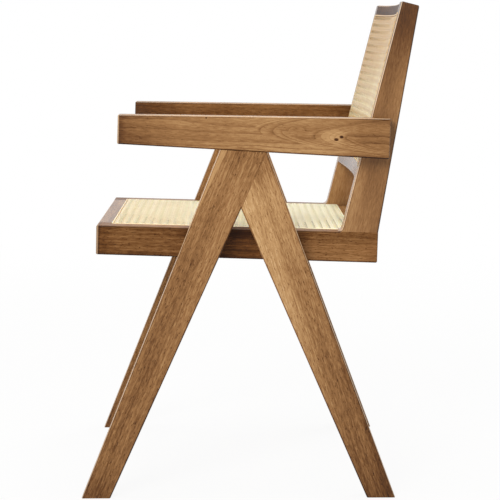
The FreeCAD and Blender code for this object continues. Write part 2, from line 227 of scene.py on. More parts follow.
# %% The studio
floor_width = 40.0
floor_colour = srgb(221, 220, 218)
floor_roughness = 0.9
floor_whiteness = 0.92
floor_fade = (0.5, 3.0)
white = (1, 1, 1, 1)


def seen_white(start, whiteness=1.0):
    """1 for a ray from a mirror or through glass, and a whiteness for a ray from the camera."""
    rays = ("Is Camera Ray", "Is Glossy Ray", "Is Transmission Ray")
    seen, mirrored, passed = [start.node("ShaderNodeLightPath", output=ray) for ray in rays]
    return (seen * whiteness).larger(mirrored).larger(passed)


bpy.ops.mesh.primitive_plane_add(size=floor_width)
floor = bpy.context.object
floor.name = "studio_floor"

floor_material, start, floor_sockets = new_finish("studio_floor")
floor_sockets["Base Color"].default_value = floor_colour
floor_sockets["Roughness"].default_value = floor_roughness
floor_sockets["Specular IOR Level"].default_value = 0.0
lit_floor = Value(start.tree, start.tree.nodes["Principled BSDF"].outputs[0])
white_floor = start.node("ShaderNodeEmission", {"Color": white, "Strength": 1.0})
away = start.node("ShaderNodeTexCoord", output="Object").length().ramp(*floor_fade)
whiteness = seen_white(start, floor_whiteness + away * (1 - floor_whiteness))
both = start.node("ShaderNodeMixShader", {0: whiteness, 1: lit_floor, 2: white_floor})
both.into(start.tree.nodes["Material Output"].inputs["Surface"])
floor.data.materials.append(floor_material)
print("a floor of", floor_width, "m fades to white from", floor_fade[0], "to", floor_fade[1], "m")

# %% [markdown]
# The world gives much of the light, evenly, as the walls of a white studio do. Three large soft lamps
# shape it: one at the chair's front and left, one above, and a weaker one behind, which draws the edges
# of the far side. They are kept at a plain level, at which a colour renders about as it is written.

# %% The world and the lamps
world_light = 0.5
world = bpy.data.worlds.new("studio")
world.use_nodes = True
bpy.context.scene.world = world
sky = Value(world.node_tree)
shown_sky = sky.node("ShaderNodeBackground", {"Color": white, "Strength": 1.0})
glow = sky.node("ShaderNodeBackground", {"Color": white, "Strength": world_light})
whole_sky = sky.node("ShaderNodeMixShader", {0: seen_white(sky), 1: glow, 2: shown_sky})
whole_sky.into(world.node_tree.nodes["World Output"].inputs["Surface"])

chair_middle = Vector((0, 0, 0.45))


def lamp(name, place, width, power):
    """A square soft lamp that looks at the middle of the chair."""
    look = chair_middle - Vector(place)
    turn = look.to_track_quat("-Z", "Y").to_euler()
    bpy.ops.object.light_add(type="AREA", location=place, rotation=turn)
    made = bpy.context.object
    made.name = name
    made.data.size = width
    made.data.energy = power
    print(name, "lamp,", round(look.length, 2), "m away")


lamp("front", (3.0, -1.3, 2.3), 1.6, 82.0)
lamp("top", (-0.3, 0.0, 3.4), 1.6, 43.0)
lamp("rear", (-2.4, 2.4, 2.4), 1.8, 40.0)

# %% [markdown]
# Wood is cut from a round log, so a board's pattern is a slice through growth rings that run along its
# length. Each board gets its own place to stand in: one axis along the grain, one across its wide face
# and one through its thickness, with zero in the middle of the board. The turn is a Mapping node on
# Object coordinates, so the pattern goes right through the wood and meets at the edges.

# %% A board's own axes
end_slice = 6 * MM


def middle_at_end(node, axis, sign):
    """The middle of the end of a solid piece, high or low along one world axis."""
    points = [vertex.co for vertex in solids[node].data.vertices]
    limit = max(sign * point[axis] for point in points) - end_slice
    end = [point for point in points if sign * point[axis] > limit]
    return Vector([(min(p[i] for p in end) + max(p[i] for p in end)) / 2 for i in range(3)])


def board_axes(node, axis, face):
    """The middle of a board, its half length, and its axes: along the grain, across, and out."""
    low, high = middle_at_end(node, axis, -1), middle_at_end(node, axis, 1)
    along = (high - low).normalized()
    across = Vector(face).cross(along).normalized()
    return (low + high) / 2, (high - low).length / 2, (along, across, along.cross(across))


def grain_place(start, middle, axes):
    """A place in the wood, measured from the board's middle along its own axes."""
    turn = Matrix(axes)
    place = start.node("ShaderNodeTexCoord", output="Object")
    inputs = {"Vector": place, "Location": -(turn @ middle), "Rotation": turn.to_euler()}
    return start.node("ShaderNodeMapping", inputs)


side_face = (1, 0, 0)
front_face = (0, -1, 0)
leg_grain = board_axes("left_front_leg", 2, side_face)[2][0]
print("the left front leg leans by", round(math.degrees(math.acos(leg_grain.z)), 1), "degrees")

# %% [markdown]
# The rings are circles round the log's heart. Where the heart lies far off, a board shows straight lines;
# where it lies close under the face, a small slope makes the rings run out of the face and draws flames.
# Slow noise makes them wander, a swell makes them close round a knot, and a flame is a row of parabolas
# with one tip. Ring by ring the colour shifts in bands, and each ring ends in a dark line of late wood,
# which is clear in some places of the board and faint in others.

# %% Growth rings
swell_stretch = 0.4
flame_width = 6.5 * MM
late_steepness = 3
clear_patches = (6.0, 26.0, 26.0)
clear_range = (0.34, 0.62)
least_clear = 0.45


def spot(along, across, place, stretch):
    """How far a point of the board's face is from a place on it, with distances along the grain cut."""
    off_along, off_across = (along - place[0]) * stretch, across - place[1]
    return (off_along * off_along + off_across * off_across) ** 0.5


def rings(place, look):
    """The colour bands and the late wood lines of a board, from -0.5 to 0.5 and from 0 to 1."""
    along, across, out = place.parts()
    off_across, off_out = across - look["heart"][0], out - look["heart"][1]
    radius = (off_across * off_across + off_out * off_out) ** 0.5
    radius = radius + along * look["slope"] + place.noise(look["wander_scales"]) * look["wander"]
    for swell_place, reach, swell in look["swells"]:
        distance = spot(along, across, swell_place, swell_stretch)
        radius = radius + (1 - distance.ramp(0.0, reach)) * swell
    for tip, reach, strength in look["flames"]:
        ahead, aside = along - tip[0], across - tip[1]
        inside = (ahead - aside * aside / flame_width).larger(0.0).smaller(reach)
        radius = radius + inside * strength
    bands = radius.line_noise(look["band_scale"], detail=2.0)
    turns = radius / look["spacing"] + radius.line_noise(look["band_scale"] * 2)
    clear = (place.noise(clear_patches, detail=1.0) + 0.5).ramp(*clear_range)
    late = turns.math("FRACT", turns) ** late_steepness
    return bands, late * (least_clear + clear * (1 - least_clear))


print("rings are a formula of the distance from the heart")

# %% [markdown]
# Teak is full of open pores, which show as short dark dashes along the grain, and of fibres that catch
# the light. They could be painted as pictures, but noise that is stretched along the board gives them
# at any size and without a seam. Four sizes of it are enough, and slow clouds keep them from being even.

# %% Pores and fibres
grain_scales = {
    "streaks": (8.0, 230.0, 230.0), "dashes": (85.0, 450.0, 450.0), "fibres": (80.0, 1200.0, 1200.0)}
pore_scales = (170.0, 900.0, 900.0)
pore_range = (0.60, 0.72)
cloud_scales = (7.0, 20.0, 20.0)


def grain(place):
    """The streaks, dashes, fibres, pores and clouds of a board."""
    figure = {name: place.noise(scales) for name, scales in grain_scales.items()}
    figure["pores"] = (place.noise(pore_scales, detail=1.0) + 0.5).ramp(*pore_range)
    figure["clouds"] = place.noise(cloud_scales, detail=1.0)
    return figure


pore_size = [round(1 / scale / MM, 1) for scale in pore_scales[:2]]
print("a pore is about", pore_size[0], "mm long and", pore_size[1], "mm wide")

# %% [markdown]
# The rounded edges of a board that do not face the floor are made pale: partly wear from hands, knees and
# cloths, and partly a painted highlight where light catches the rounding. The other rounded edges get a
# painted shade. An edge shows in its normal: on the rounding it faces halfway between the board's two
# sides. End grain drinks more oil and is darker, and it faces along the board.

# %% Edges: wear, painted highlight and painted shade
rounding_range = (0.1, 0.3)
crest_ranges = ((0.45, 0.7), (0.15, 0.35))
floor_side_range = (-0.14, -0.02)
end_grain_range = (0.7, 0.95)
end_grain_shade = 0.2
edge_shade = 0.32


def edge_wear_and_painted_light(start, axes):
    """Where a board's edges are pale with wear and painted highlight, and how much its painted edge shade
    and ends darken it.
    """
    normal = start.node("ShaderNodeTexCoord", output="Normal")
    along, across, out = [normal.dot(axis).size() for axis in axes]
    rounded = across.ramp(*rounding_range) * out.ramp(*rounding_range)
    crest = across.ramp(*crest_ranges[0]) * out.ramp(*crest_ranges[1])
    rubbed = crest * normal.dot((0, 0, 1)).ramp(*floor_side_range)
    end_grain = along.ramp(*end_grain_range) * end_grain_shade
    return rubbed, end_grain + (rounded - rubbed).larger(0.0) * edge_shade


print("edges are found by their normals")

# %% [markdown]
# Now it all comes together. Every mark is a small step lighter or darker on one scale, the tone, and a
# ramp of five teak colours turns the tone into wood. A plain board is written down once, and each board
# of the chair only says in what it differs. The surface is oiled: satin under a thin, smooth coat, warm
# when seen square, and pale with the light of the room when seen along the face.

# %% The teak finish
plain_teak = {
    "heart": (-0.11, 0.03), "slope": 0.01, "wander": 4 * MM, "wander_scales": (4.0, 14.0, 14.0),
    "swells": (), "flames": (), "spacing": 4.2 * MM, "band_scale": 55.0,
    "bands": 0.4, "late": 0.08, "streaks": 0.22, "dashes": 0.66, "fibres": 0.34, "pores": 0.33,
    "clouds": 0.4, "tone": 0.0, "fade": 0.0, "lean": 0.0, "dark_ends": (0.12, 0.12), "end_reach": 45 * MM,
    "red": 0.0, "rubbed": 0.5, "coat": 0.4}
teak_tones = (
    (0.0, srgb(50, 24, 5)), (0.25, srgb(99, 61, 26)), (0.5, srgb(147, 105, 63)),
    (0.75, srgb(188, 147, 99)), (1.0, srgb(224, 190, 145)))
teak_red = srgb(136, 84, 46)
teak_worn_highlight = srgb(236, 203, 165)
most_red = 0.35
red_range = (0.0, 0.9)
satin = 0.42
grain_relief = 0.12 * MM
relief_strength = 0.3
oil_shine = {"Specular IOR Level": 0.05, "Coat Roughness": 0.2, "Coat IOR": 1.4}


def shaded_ends(tone, along, half_length, look):
    """The tone of a board, darkened towards its low and its high end."""
    low_dark, high_dark = look["dark_ends"]
    tone = tone - (1 - (along + half_length).ramp(0.0, look["end_reach"])) * low_dark
    return tone - (1 - (half_length - along).ramp(0.0, look["end_reach"])) * high_dark


def teak(node, axis, face, marks=None, **character):
    """Gives one board its teak finish; marks may change its tone in places, paint shade on it, and pale it
    with wear and painted highlight.
    """
    look = dict(plain_teak, **character)
    middle, half_length, axes = board_axes(node, axis, face)
    material, start, shader = new_finish("teak_" + node)
    place = grain_place(start, middle, axes)
    along, across, out = place.parts()
    bands, late = rings(place, look)
    figure = grain(place)
    tone = bands * look["bands"] - late * look["late"] - figure["pores"] * look["pores"]
    for name in ("streaks", "dashes", "fibres", "clouds"):
        tone = tone + figure[name] * look[name]
    # The slope along the board is painted light: it makes the board lighter towards one end, as light from
    # above would.
    tone = tone + (0.5 + look["tone"]) + along * (look["fade"] / half_length) + across * look["lean"]
    tone = shaded_ends(tone, along, half_length, look)
    worn_highlight = 0.0
    if marks:
        chair_place = start.node("ShaderNodeTexCoord", output="Object")
        tone, worn_highlight = marks(tone, place, chair_place, half_length)
    rubbed, darker = edge_wear_and_painted_light(start, axes)
    colour = (tone - darker).toned(teak_tones)
    warm = (figure["clouds"] + bands + look["red"]).ramp(*red_range) * most_red
    # Pale edges take a colour that is partly wear and partly a painted highlight; other rounded edges
    # carry painted shade.
    colour = (rubbed * look["rubbed"]).larger(worn_highlight).blended(warm.blended(colour, teak_red), teak_worn_highlight)
    colour.into(shader["Base Color"])
    roughness = satin + figure["dashes"] * 0.12 + figure["pores"] * 0.2 - rubbed * 0.1
    roughness.into(shader["Roughness"])
    height = figure["dashes"] * 0.3 + figure["fibres"] * 0.4 - figure["pores"] - late * 0.3
    height.bump(relief_strength, grain_relief).into(shader["Normal"])
    for name, value in dict(oil_shine, **{"Coat Weight": look["coat"]}).items():
        shader[name].default_value = value
    solids[node].data.materials.clear()
    solids[node].data.materials.append(material)
    return material


print("a plain board has", len(plain_teak), "settings")

# %% [markdown]
# Each side of the chair has a V of two legs. The front leg is a long straight board whose grain runs
# parallel to its edges, and along its outer edge the saw left a stripe of pale sapwood that widens
# towards the arm. The rear leg gets darker towards its outer edge. Both marks follow an edge of the leg,
# so they are measured from that edge, whose ends are the furthest points of the solid leg.

# %% The legs
sides = (("left", True), ("right", False))
edge_steepness = 0.6
sapwood_length = 0.134
sapwood_slope = 0.078
sapwood_blur = 0.6 * MM
sapwood_pale = 0.21
sapwood_calm = 0.6
rear_leg_middle = 27 * MM
rear_leg_shade = 3.6


def from_edge(chair_place, leg, outwards):
    """How deep a place lies inside the outer edge of a leg, the way up that edge, and the edge's top."""
    toe, top = furthest(leg, (0, outwards, 0)), furthest(leg, (0, outwards, edge_steepness))
    up = Vector((0, top.y - toe.y, top.z - toe.z)).normalized()
    inwards = Vector((0, up.z, -up.y)) * -outwards
    return chair_place.dot(inwards) - toe.dot(inwards), up, top


def sapwood(tone, place, chair_place, half_length):
    """The pale stripe that widens towards the top of the front leg's outer edge."""
    depth, up, top = from_edge(chair_place, "left_front_leg", -1)
    width = (chair_place.dot(up) - (top.dot(up) - sapwood_length)) * sapwood_slope
    stripe = 1 - (depth - width).ramp(-sapwood_blur, sapwood_blur)
    return tone + stripe * (sapwood_pale - (tone - 0.5) * sapwood_calm), 0.0


def outer_shade(tone, place, chair_place, half_length):
    """The wood of a rear leg, which darkens from its inner to its outer edge."""
    depth, up, top = from_edge(chair_place, "left_rear_leg", 1)
    return tone + (depth - rear_leg_middle) * rear_leg_shade, 0.0


# A leg's slope along the board is painted light, which makes it lighter towards its top.
for side, near in sides:
    teak(side + "_front_leg", 2, side_face, marks=sapwood if near else None,
         heart=(-0.094, 0.05), wander=2 * MM, bands=0.3, streaks=0.36, dashes=0.5, clouds=0.3,
         tone=-0.03, fade=0.03, dark_ends=(0.11, 0.08), end_reach=80 * MM)
    teak(side + "_rear_leg", 2, side_face, marks=outer_shade,
         heart=(0.12, 0.04), wander=3 * MM, bands=0.28, streaks=0.38, dashes=0.5, clouds=0.3,
         tone=0.05, fade=0.2, dark_ends=(0.08, 0.24), end_reach=80 * MM)
print("legs finished")

# %% [markdown]
# The left arm is the board that everyone looks at. It was sawn close to the heart, so its rings open
# into nested tips and close round two eyes, and it has two small knots in a pale patch and a pin hole.
# The eyes are swells of the rings and the tips are flames, each at its place on the board, along and
# across from its middle. The right arm is plain and lies in the shade, and its lower tone is painted
# shade.

# %% The arms
arm_swells = (((-0.006, -0.034), 22 * MM, 9 * MM),
              ((0.0675, 0.0113), 8 * MM, 6 * MM),
              ((0.134, -0.002), 9 * MM, 5 * MM))
arm_flames = (((0.0, 0.010), 42 * MM, 0.52), ((0.0885, 0.004), 60 * MM, 0.6))
knots = (((0.1306, -0.0039), 3.1 * MM), ((0.1385, 0.0005), 2.8 * MM))
knot_stretch = 0.7
knot_dark = 0.6
pale_patch = (0.126, 0.001)
patch_stretch = 0.6
patch_range = (4 * MM, 16 * MM)
patch_pale = 0.09
pin_hole = (-0.0764, 0.023)
pin_hole_range = (0.8 * MM, 1.8 * MM)
pin_hole_dark = 0.5
outer_edge = (11.5 * MM, 14.5 * MM)
# The pale strip at the front end of the left arm and rail is partly wear and partly a painted highlight on
# the rounded edge.
arm_front_highlit_width = (0.4 * MM, 1.6 * MM)
arm_front_highlight = 0.5
arm_front_reach = 16 * MM
arm_front_dark = 0.14


def worn_and_highlit_end(from_end, out, reach, strength):
    """A pale strip on the outer side of a board, right at its front end: partly wear, partly a painted
    highlight.
    """
    return (1 - from_end.ramp(*reach)) * out.ramp(*outer_edge) * strength


def arm_marks(tone, place, chair_place, half_length):
    """Two small knots in a pale patch, a pin hole, and a darker front end whose edge has a pale strip of
    wear and painted highlight.
    """
    along, across, out = place.parts()
    for knot_place, radius in knots:
        distance = spot(along, across, knot_place, knot_stretch)
        tone = tone - (1 - distance.ramp(radius / 2, radius)) * knot_dark
    patch = 1 - spot(along, across, pale_patch, patch_stretch).ramp(*patch_range)
    hole = 1 - spot(along, across, pin_hole, 1.0).ramp(*pin_hole_range)
    from_end = along + half_length
    front = 1 - from_end.ramp(0.0, arm_front_reach)
    tone = tone + patch * patch_pale - hole * pin_hole_dark - front * arm_front_dark
    return tone, worn_and_highlit_end(from_end, out, arm_front_highlit_width, arm_front_highlight)


figured_arm = {"heart": (0.026, -0.014), "bands": 0.36, "late": 0.23, "tone": 0.115,
               "swells": arm_swells, "flames": arm_flames, "marks": arm_marks}
# The right arm's lower tone is painted shade.
plain_arm_with_painted_shade = {"heart": (-0.09, 0.05), "bands": 0.2, "late": 0.08, "tone": -0.085}
for side, near in sides:
    teak(side + "_armrest", 1, side_face, **(figured_arm if near else plain_arm_with_painted_shade),
         wander=9 * MM, wander_scales=(8.0, 14.0, 14.0), slope=-0.01, spacing=8 * MM,
         streaks=0.12, dashes=0.26, pores=0.15, clouds=0.5,
         fade=0.03, dark_ends=(0.18, 0.24), end_reach=120 * MM, red=-0.15)
print("arms with", len(arm_swells), "swells,", len(arm_flames), "flames and", len(knots), "knots")

# %% [markdown]
# The rails that carry the seat are darker, redder boards. On the left one a painted shadow darkens the
# middle, between the legs, most of all in its upper half, where the legs and the arm shade it. Its front
# end shows a pale edge, partly wear and partly a painted highlight, with a dark line behind it.
# The stiles that carry the back are calm, even boards that get darker towards their top.

# %% The side rails and the stiles
rail_dark_place = -12 * MM
rail_dark_range = (30 * MM, 90 * MM)
rail_painted_shadow = 0.22
rail_upper_half = (-20 * MM, 20 * MM)
rail_upper_painted_shadow = 0.12
rail_front_highlit_width = (1.5 * MM, 2.5 * MM)
rail_front_highlight = 0.3
rail_line_place = 3.4 * MM
rail_line_range = (0.4 * MM, 1.2 * MM)
rail_line_dark = 0.2


def rail_painted_shadow_and_marks(tone, place, chair_place, half_length):
    """A painted shadow in the middle of the left side rail, and its pale front edge of wear and painted
    highlight.
    """
    along, across, out = place.parts()
    middle = 1 - (along - rail_dark_place).size().ramp(*rail_dark_range)
    from_end = along + half_length
    line = 1 - (from_end - rail_line_place).size().ramp(*rail_line_range)
    # The middle of the rail, between the legs, gets a painted shadow, darkest in its upper half.
    painted_shadow = middle * (rail_painted_shadow + across.ramp(*rail_upper_half) * rail_upper_painted_shadow)
    tone = tone - painted_shadow - line * rail_line_dark
    return tone, worn_and_highlit_end(from_end, out, rail_front_highlit_width, rail_front_highlight)


for side, near in sides:
    teak(side + "_seat_side_rail", 1, side_face, marks=rail_painted_shadow_and_marks if near else None,
         heart=(-0.08, 0.05), wander=6 * MM, streaks=0.34, dashes=0.36, clouds=0.6,
         tone=-0.09 if near else -0.2, red=0.2, rubbed=0.05, coat=0.15)
    teak(side + "_back_stile", 2, side_face,
         heart=(-0.09, 0.05), bands=0.14, late=0.03, streaks=0.07, dashes=0.26, pores=0.12, clouds=0.6,
         tone=-0.01 if near else 0.02, fade=-0.04, lean=1.0, dark_ends=(0.0, 0.36), end_reach=140 * MM,
         red=-0.2 if near else 0.1, rubbed=0.8, coat=0.6)
print("side rails and stiles finished")

# %% [markdown]
# The four cross rails close the seat frame and the back frame. They are seen along their faces, where
# the coat shows the white of the room, so they are a little darker, and they are made less red where they
# look grey, which paints that grey reflection into their colour.
# The plugs that cover the arm screws are cut from darker wood, with the grain upright.

# %% The cross rails and the plugs
# A lower red on these rails is a painted reflection, greying them as the room's white does.
teak("seat_front_rail", 0, front_face, tone=-0.18, red=-1.0, coat=0.55)
teak("seat_rear_rail", 0, front_face, tone=-0.05)
teak("back_top_rail", 0, front_face, tone=-0.14, red=-0.2, coat=0.1)
teak("back_lower_rail", 0, front_face, tone=0.1, red=-0.4, coat=0.8)
teak("arm_screw_plugs", 2, side_face, tone=-0.12, dark_ends=(0.0, 0.0))
print("cross rails and plugs finished")

# %% [markdown]
# The seat and the back are flat frames with a groove all round. The cane lies across the frame, turns
# down into the groove, and a round reed, the spline, is glued in over it. Both panels get their own
# axes, read from the solid splines: across the chair, along the panel, and out of its face.

# %% A panel's own axes
ACROSS = Vector((1, 0, 0))
spline_proud = 0.9 * MM


def panel_place(spline, low, high):
    """The turn and place of a panel's face, and half its width and length at the spline's outside."""
    first, last = furthest(spline, low), furthest(spline, high)
    along = (last - first).normalized()
    out = ACROSS.cross(along)
    half_width = furthest(spline, ACROSS).x
    top, foot = furthest(spline, along).dot(along), furthest(spline, -along).dot(along)
    middle = along * (top + foot) / 2 + out * (first.dot(out) - spline_proud)
    place = Matrix((ACROSS, along, out)).transposed().to_4x4()
    place.translation = middle
    return place, half_width, (top - foot) / 2


seat_panel = panel_place("seat_cane_spline", (0, -1, 1), (0, 1, 1))
back_panel = panel_place("back_cane_spline", (10, -1, -1), (10, -1, 1))
for name, panel in (("seat", seat_panel), ("back", back_panel)):
    print(name, "panel, outside of the spline:", [round(2 * half / MM, 1) for half in panel[1:]], "mm")

# %% [markdown]
# The back is bowed: its front is an arc between the stiles and straight over them. All that is made flat
# for the back is pushed in by this arc before it takes its place.

# %% The bow of the back
back_bow = 10.5 * MM
half_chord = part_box("left_back_stile")[0].x
bow_radius = (half_chord ** 2 + back_bow ** 2) / (2 * back_bow)


def no_bow(across):
    """The seat is flat."""
    return 0.0


def bow_depth(across):
    """How far the face of the back lies behind its ends, at a place across it."""
    reach = min(abs(across), half_chord)
    return math.sqrt(bow_radius ** 2 - reach ** 2) - bow_radius + back_bow


panels = (("seat", seat_panel, no_bow), ("back", back_panel, bow_depth))
print("the back's arc has a radius of", round(bow_radius, 2), "m")

# %% [markdown]
# Chair cane is woven from six strands per square: a pair each way and one diagonal each way. A strand is
# the skin of the rattan vine, flat below and domed above. We draw its section once, from a five sided
# circle, extrude it in steps along one square, and lift every step by a cosine: high where it passes
# over, low where it dives under. All the rest of the weave is that one piece, repeated, so it has only
# a few dozen faces.

# %% One square of a strand
cane_pitch = 12.7 * MM
strand_width = 2.6 * MM
diagonal_width = 2.8 * MM
strand_thickness = 0.7 * MM
weave_height = 0.36 * MM
pair_offset = 0.15 * cane_pitch
section_sides = 5
section_height = 1 + math.cos(math.pi / section_sides)
section_width = 2 * math.sin(2 * math.pi / section_sides)
strand_steps = 4
strand_phase = 0.75
diagonal_steps = 6
diagonal_phase = 0.5


def strand_unit(name, width, length, steps, phase):
    """One wave of a strand along +Y, open at both ends, with its crown up."""
    bpy.ops.object.select_all(action="DESELECT")
    bpy.ops.mesh.primitive_circle_add(vertices=section_sides, radius=1, rotation=(math.pi / 2, 0, 0))
    unit = bpy.context.object
    unit.name = name
    unit.scale = (width / section_width, strand_thickness / section_height, 1)
    bpy.ops.object.transform_apply(location=True, rotation=True, scale=True)
    bpy.ops.object.mode_set(mode="EDIT")
    for step in range(steps):
        onwards = {"value": (0, length / steps, 0)}
        bpy.ops.mesh.extrude_region_move(TRANSFORM_OT_translate=onwards)
    bpy.ops.mesh.select_all(action="SELECT")
    bpy.ops.mesh.normals_make_consistent(inside=False)
    bpy.ops.object.mode_set(mode="OBJECT")
    for vertex in unit.data.vertices:
        vertex.co.z += weave_height * math.cos(math.tau * (vertex.co.y / length - phase))
    return unit


trial = strand_unit("trial", strand_width, cane_pitch, strand_steps, strand_phase)
print("one square of a strand has", len(trial.data.polygons), "faces")
bpy.data.objects.remove(trial)

# %% [markdown]
# Arrays repeat the square: first along the strand, then its partner, half a wave later, then side by
# side over the whole panel. The crosswise strands are the uprights turned a quarter, and so is the
# second diagonal, which makes over and under change places at every crossing.

# %% A layer of strands
merge_distance = 0.01 * MM


def repeated(shape, count, step):
    """Copies a shape in a row and joins the copies where they touch."""
    row = shape.modifiers.new("row", "ARRAY")
    row.count = count
    row.use_relative_offset = False
    row.use_constant_offset = True
    row.constant_offset_displace = step
    row.use_merge_vertices = True
    row.merge_threshold = merge_distance
    bpy.ops.object.modifier_apply(modifier=row.name)


def turned(shape, angle):
    """Turns a shape about +Z and keeps the turn in its mesh."""
    shape.rotation_euler = (0, 0, angle)
    bpy.ops.object.transform_apply(location=True, rotation=True, scale=True)


def whole_squares(width, length):
    """How many squares of the weave cover a field, with some to spare."""
    return [2 * math.ceil(part / cane_pitch) + 2 for part in (width, length)]


def upright_strands(name, width, length):
    """Pairs of strands along Y over a field of whole squares."""
    columns, rows = whole_squares(width, length)
    layer = strand_unit(name, strand_width, cane_pitch, strand_steps, strand_phase)
    layer.location = (pair_offset - columns / 2 * cane_pitch, -rows / 2 * cane_pitch, 0)
    bpy.ops.object.transform_apply(location=True, rotation=True, scale=True)
    repeated(layer, rows, (0, cane_pitch, 0))
    repeated(layer, 2, (-2 * pair_offset, cane_pitch / 2, 0))
    repeated(layer, columns + 1, (cane_pitch, 0, 0))
    return layer


def diagonal_strands(name, width, length):
    """Single strands that rise one square for each square across."""
    columns, rows = whole_squares(width, length)
    length = cane_pitch * math.sqrt(2)
    layer = strand_unit(name, diagonal_width, length, diagonal_steps, diagonal_phase)
    turned(layer, -math.pi / 4)
    layer.location = (-columns / 2 * cane_pitch, -(columns + rows + 1) / 2 * cane_pitch, 0)
    bpy.ops.object.transform_apply(location=True, rotation=True, scale=True)
    repeated(layer, columns, (cane_pitch, cane_pitch, 0))
    repeated(layer, columns + rows + 2, (0, cane_pitch, 0))
    return layer


print("pairs are", round(2 * pair_offset / MM, 1), "mm apart, squares", round(cane_pitch / MM, 1), "mm")

# %% [markdown]
# The field is cut to size, its corners are trimmed away, and its rim is folded down round the groove's
# inner edge. Cuts at the start and at the end of the fold give the strands the points to bend at.

# %% Trimming and tucking
tuck_depth = 5 * MM
fold_radius = 2.0 * MM
fold_length = fold_radius * math.pi / 2
cane_inset = 3.75 * MM
cane_middle_height = 0.6 * MM
smooth_angle = math.radians(70)


def trim(half_width, half_length):
    """Cuts the open mesh off outside a rectangle and marks where its rim folds."""
    for reach, clear in ((fold_length + tuck_depth, True), (fold_length, False), (0, False)):
        for side in (Vector((1, 0, 0)), Vector((-1, 0, 0)), Vector((0, 1, 0)), Vector((0, -1, 0))):
            half = half_width if side.x else half_length
            bpy.ops.mesh.select_all(action="SELECT")
            bpy.ops.mesh.bisect(plane_co=side * (half + reach), plane_no=side, clear_outer=clear)


def tucked(height, past):
    """Where a point goes that lies past the fold's start: how far out, and how high."""
    angle = min(past / fold_radius, math.pi / 2)
    down = max(past - fold_length, 0)
    radius = fold_radius + height
    return radius * math.sin(angle), radius * math.cos(angle) - fold_radius - down


def cane_layer(name, strands, quarter_turn, panel, depth):
    """Makes one layer of a panel's weave, in its place."""
    place = panel[0]
    half_width, half_length = [half - cane_inset - fold_radius for half in panel[1:]]
    rim = fold_length + tuck_depth
    field = (half_width + rim, half_length + rim)
    layer = strands(name, *(reversed(field) if quarter_turn else field))
    turned(layer, math.pi / 2 if quarter_turn else 0)
    bpy.ops.object.mode_set(mode="EDIT")
    trim(half_width, half_length)
    bpy.ops.mesh.select_all(action="DESELECT")
    bpy.ops.object.mode_set(mode="OBJECT")
    for face in layer.data.polygons:
        face.select = abs(face.center.x) > half_width and abs(face.center.y) > half_length
    bpy.ops.object.mode_set(mode="EDIT")
    bpy.ops.mesh.delete(type="FACE")
    bpy.ops.mesh.select_all(action="SELECT")
    bpy.ops.mesh.fill_holes(sides=0)
    bpy.ops.object.mode_set(mode="OBJECT")
    for vertex in layer.data.vertices:
        across, along, height = vertex.co
        if abs(across) > half_width:
            out, height = tucked(height, abs(across) - half_width)
            across = math.copysign(half_width + out, across)
        if abs(along) > half_length:
            out, height = tucked(height, abs(along) - half_length)
            along = math.copysign(half_length + out, along)
        vertex.co = (across, along, height + cane_middle_height - depth(across))
    layer.matrix_world = place
    bpy.ops.object.transform_apply(location=True, rotation=True, scale=True)
    bpy.ops.object.shade_smooth_by_angle(angle=smooth_angle)
    return layer


print("the rim of the cane goes down by", round((fold_radius + tuck_depth) / MM, 1), "mm")

# %% [markdown]
# A panel is four layers: the uprights, the same strands crosswise, and the two diagonals. Each layer is
# one piece, because its strands share one finish, and together they take the place of the solid panel.
# The table also says how the strands run, and their painted shade: the crosswise ones are painted darker
# and the others lighter, which evens out how the light falls on them.

# %% The cane panels
weave = (
    ("uprights", upright_strands, False, 0, -0.15), ("crosswise", upright_strands, True, 90, 0.15),
    ("rising", diagonal_strands, False, -45, -0.15), ("falling", diagonal_strands, True, 45, -0.15))
cane_layers = []
for panel_name, panel, depth in panels:
    for layer_name, strands, quarter_turn, degrees, shade in weave:
        layer = cane_layer(panel_name + "_cane_" + layer_name, strands, quarter_turn, panel, depth)
        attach(layer, "root")
        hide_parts(panel_name + "_cane")
        cane_layers.append((layer, panel_name, panel[0], degrees, shade))
        print(layer.name, len(layer.data.polygons), "faces")

# %% [markdown]
# Cane is creamy and glossy on its skin. The back is darker in rows, where its crosswise strands lie, as
# painted shade in the dips of the weave, and darker and browner towards its top and on its right. The seat
# is painted paler at its middle and rear, as painted light where the arm and the legs shade it. These
# tones go by the place on the chair and not by the strand, so they are kept apart.

# %% The cane's painted light and shade by its place
row_wander = 5 * MM
row_wander_scales = (9.0, 9.0, 30.0)
row_shade = 0.1
top_range = (0.62, 0.77)
top_brown = 0.38
right_range = (-0.05, 0.2)
right_brown = 0.3
seat_painted_light_range = (-0.13, 0.0)
seat_painted_light_amounts = (0.05, 0.42)


def seat_painted_light(chair_place):
    """How much paler painted light makes the cane at a place of the seat."""
    across, along, height = chair_place.parts()
    return along.ramp(*seat_painted_light_range) * seat_painted_light_amounts[1] + seat_painted_light_amounts[0]


def back_painted_shade_and_tone(chair_place):
    """How much darker the cane is at a place of the back: painted shade in rows, and a darker top and
    right.
    """
    across, along, height = chair_place.parts()
    up_the_back = back_panel[0].col[1].xyz
    # The rows are painted shade where the strands dip under.
    risen = chair_place.dot(up_the_back) + chair_place.noise(row_wander_scales) * row_wander
    rows = risen.math("SINE", risen * (math.tau / cane_pitch))
    darker_top_and_right = height.ramp(*top_range) * (top_brown + (-across).ramp(*right_range) * right_brown)
    return -(rows * row_shade) - darker_top_and_right


painted_light_and_tone = {"seat": seat_painted_light, "back": back_painted_shade_and_tone}
print("rows of the back are", round(cane_pitch / MM, 1), "mm apart")

# %% [markdown]
# The finish itself has fine lines along each strand, strands that differ a little from each other, and
# now and then a brown speck where a leaf grew. The pattern has to follow the strands, so every layer
# gets its own turn of the same finish. Light sinks a little way into cane, which softens its shade.

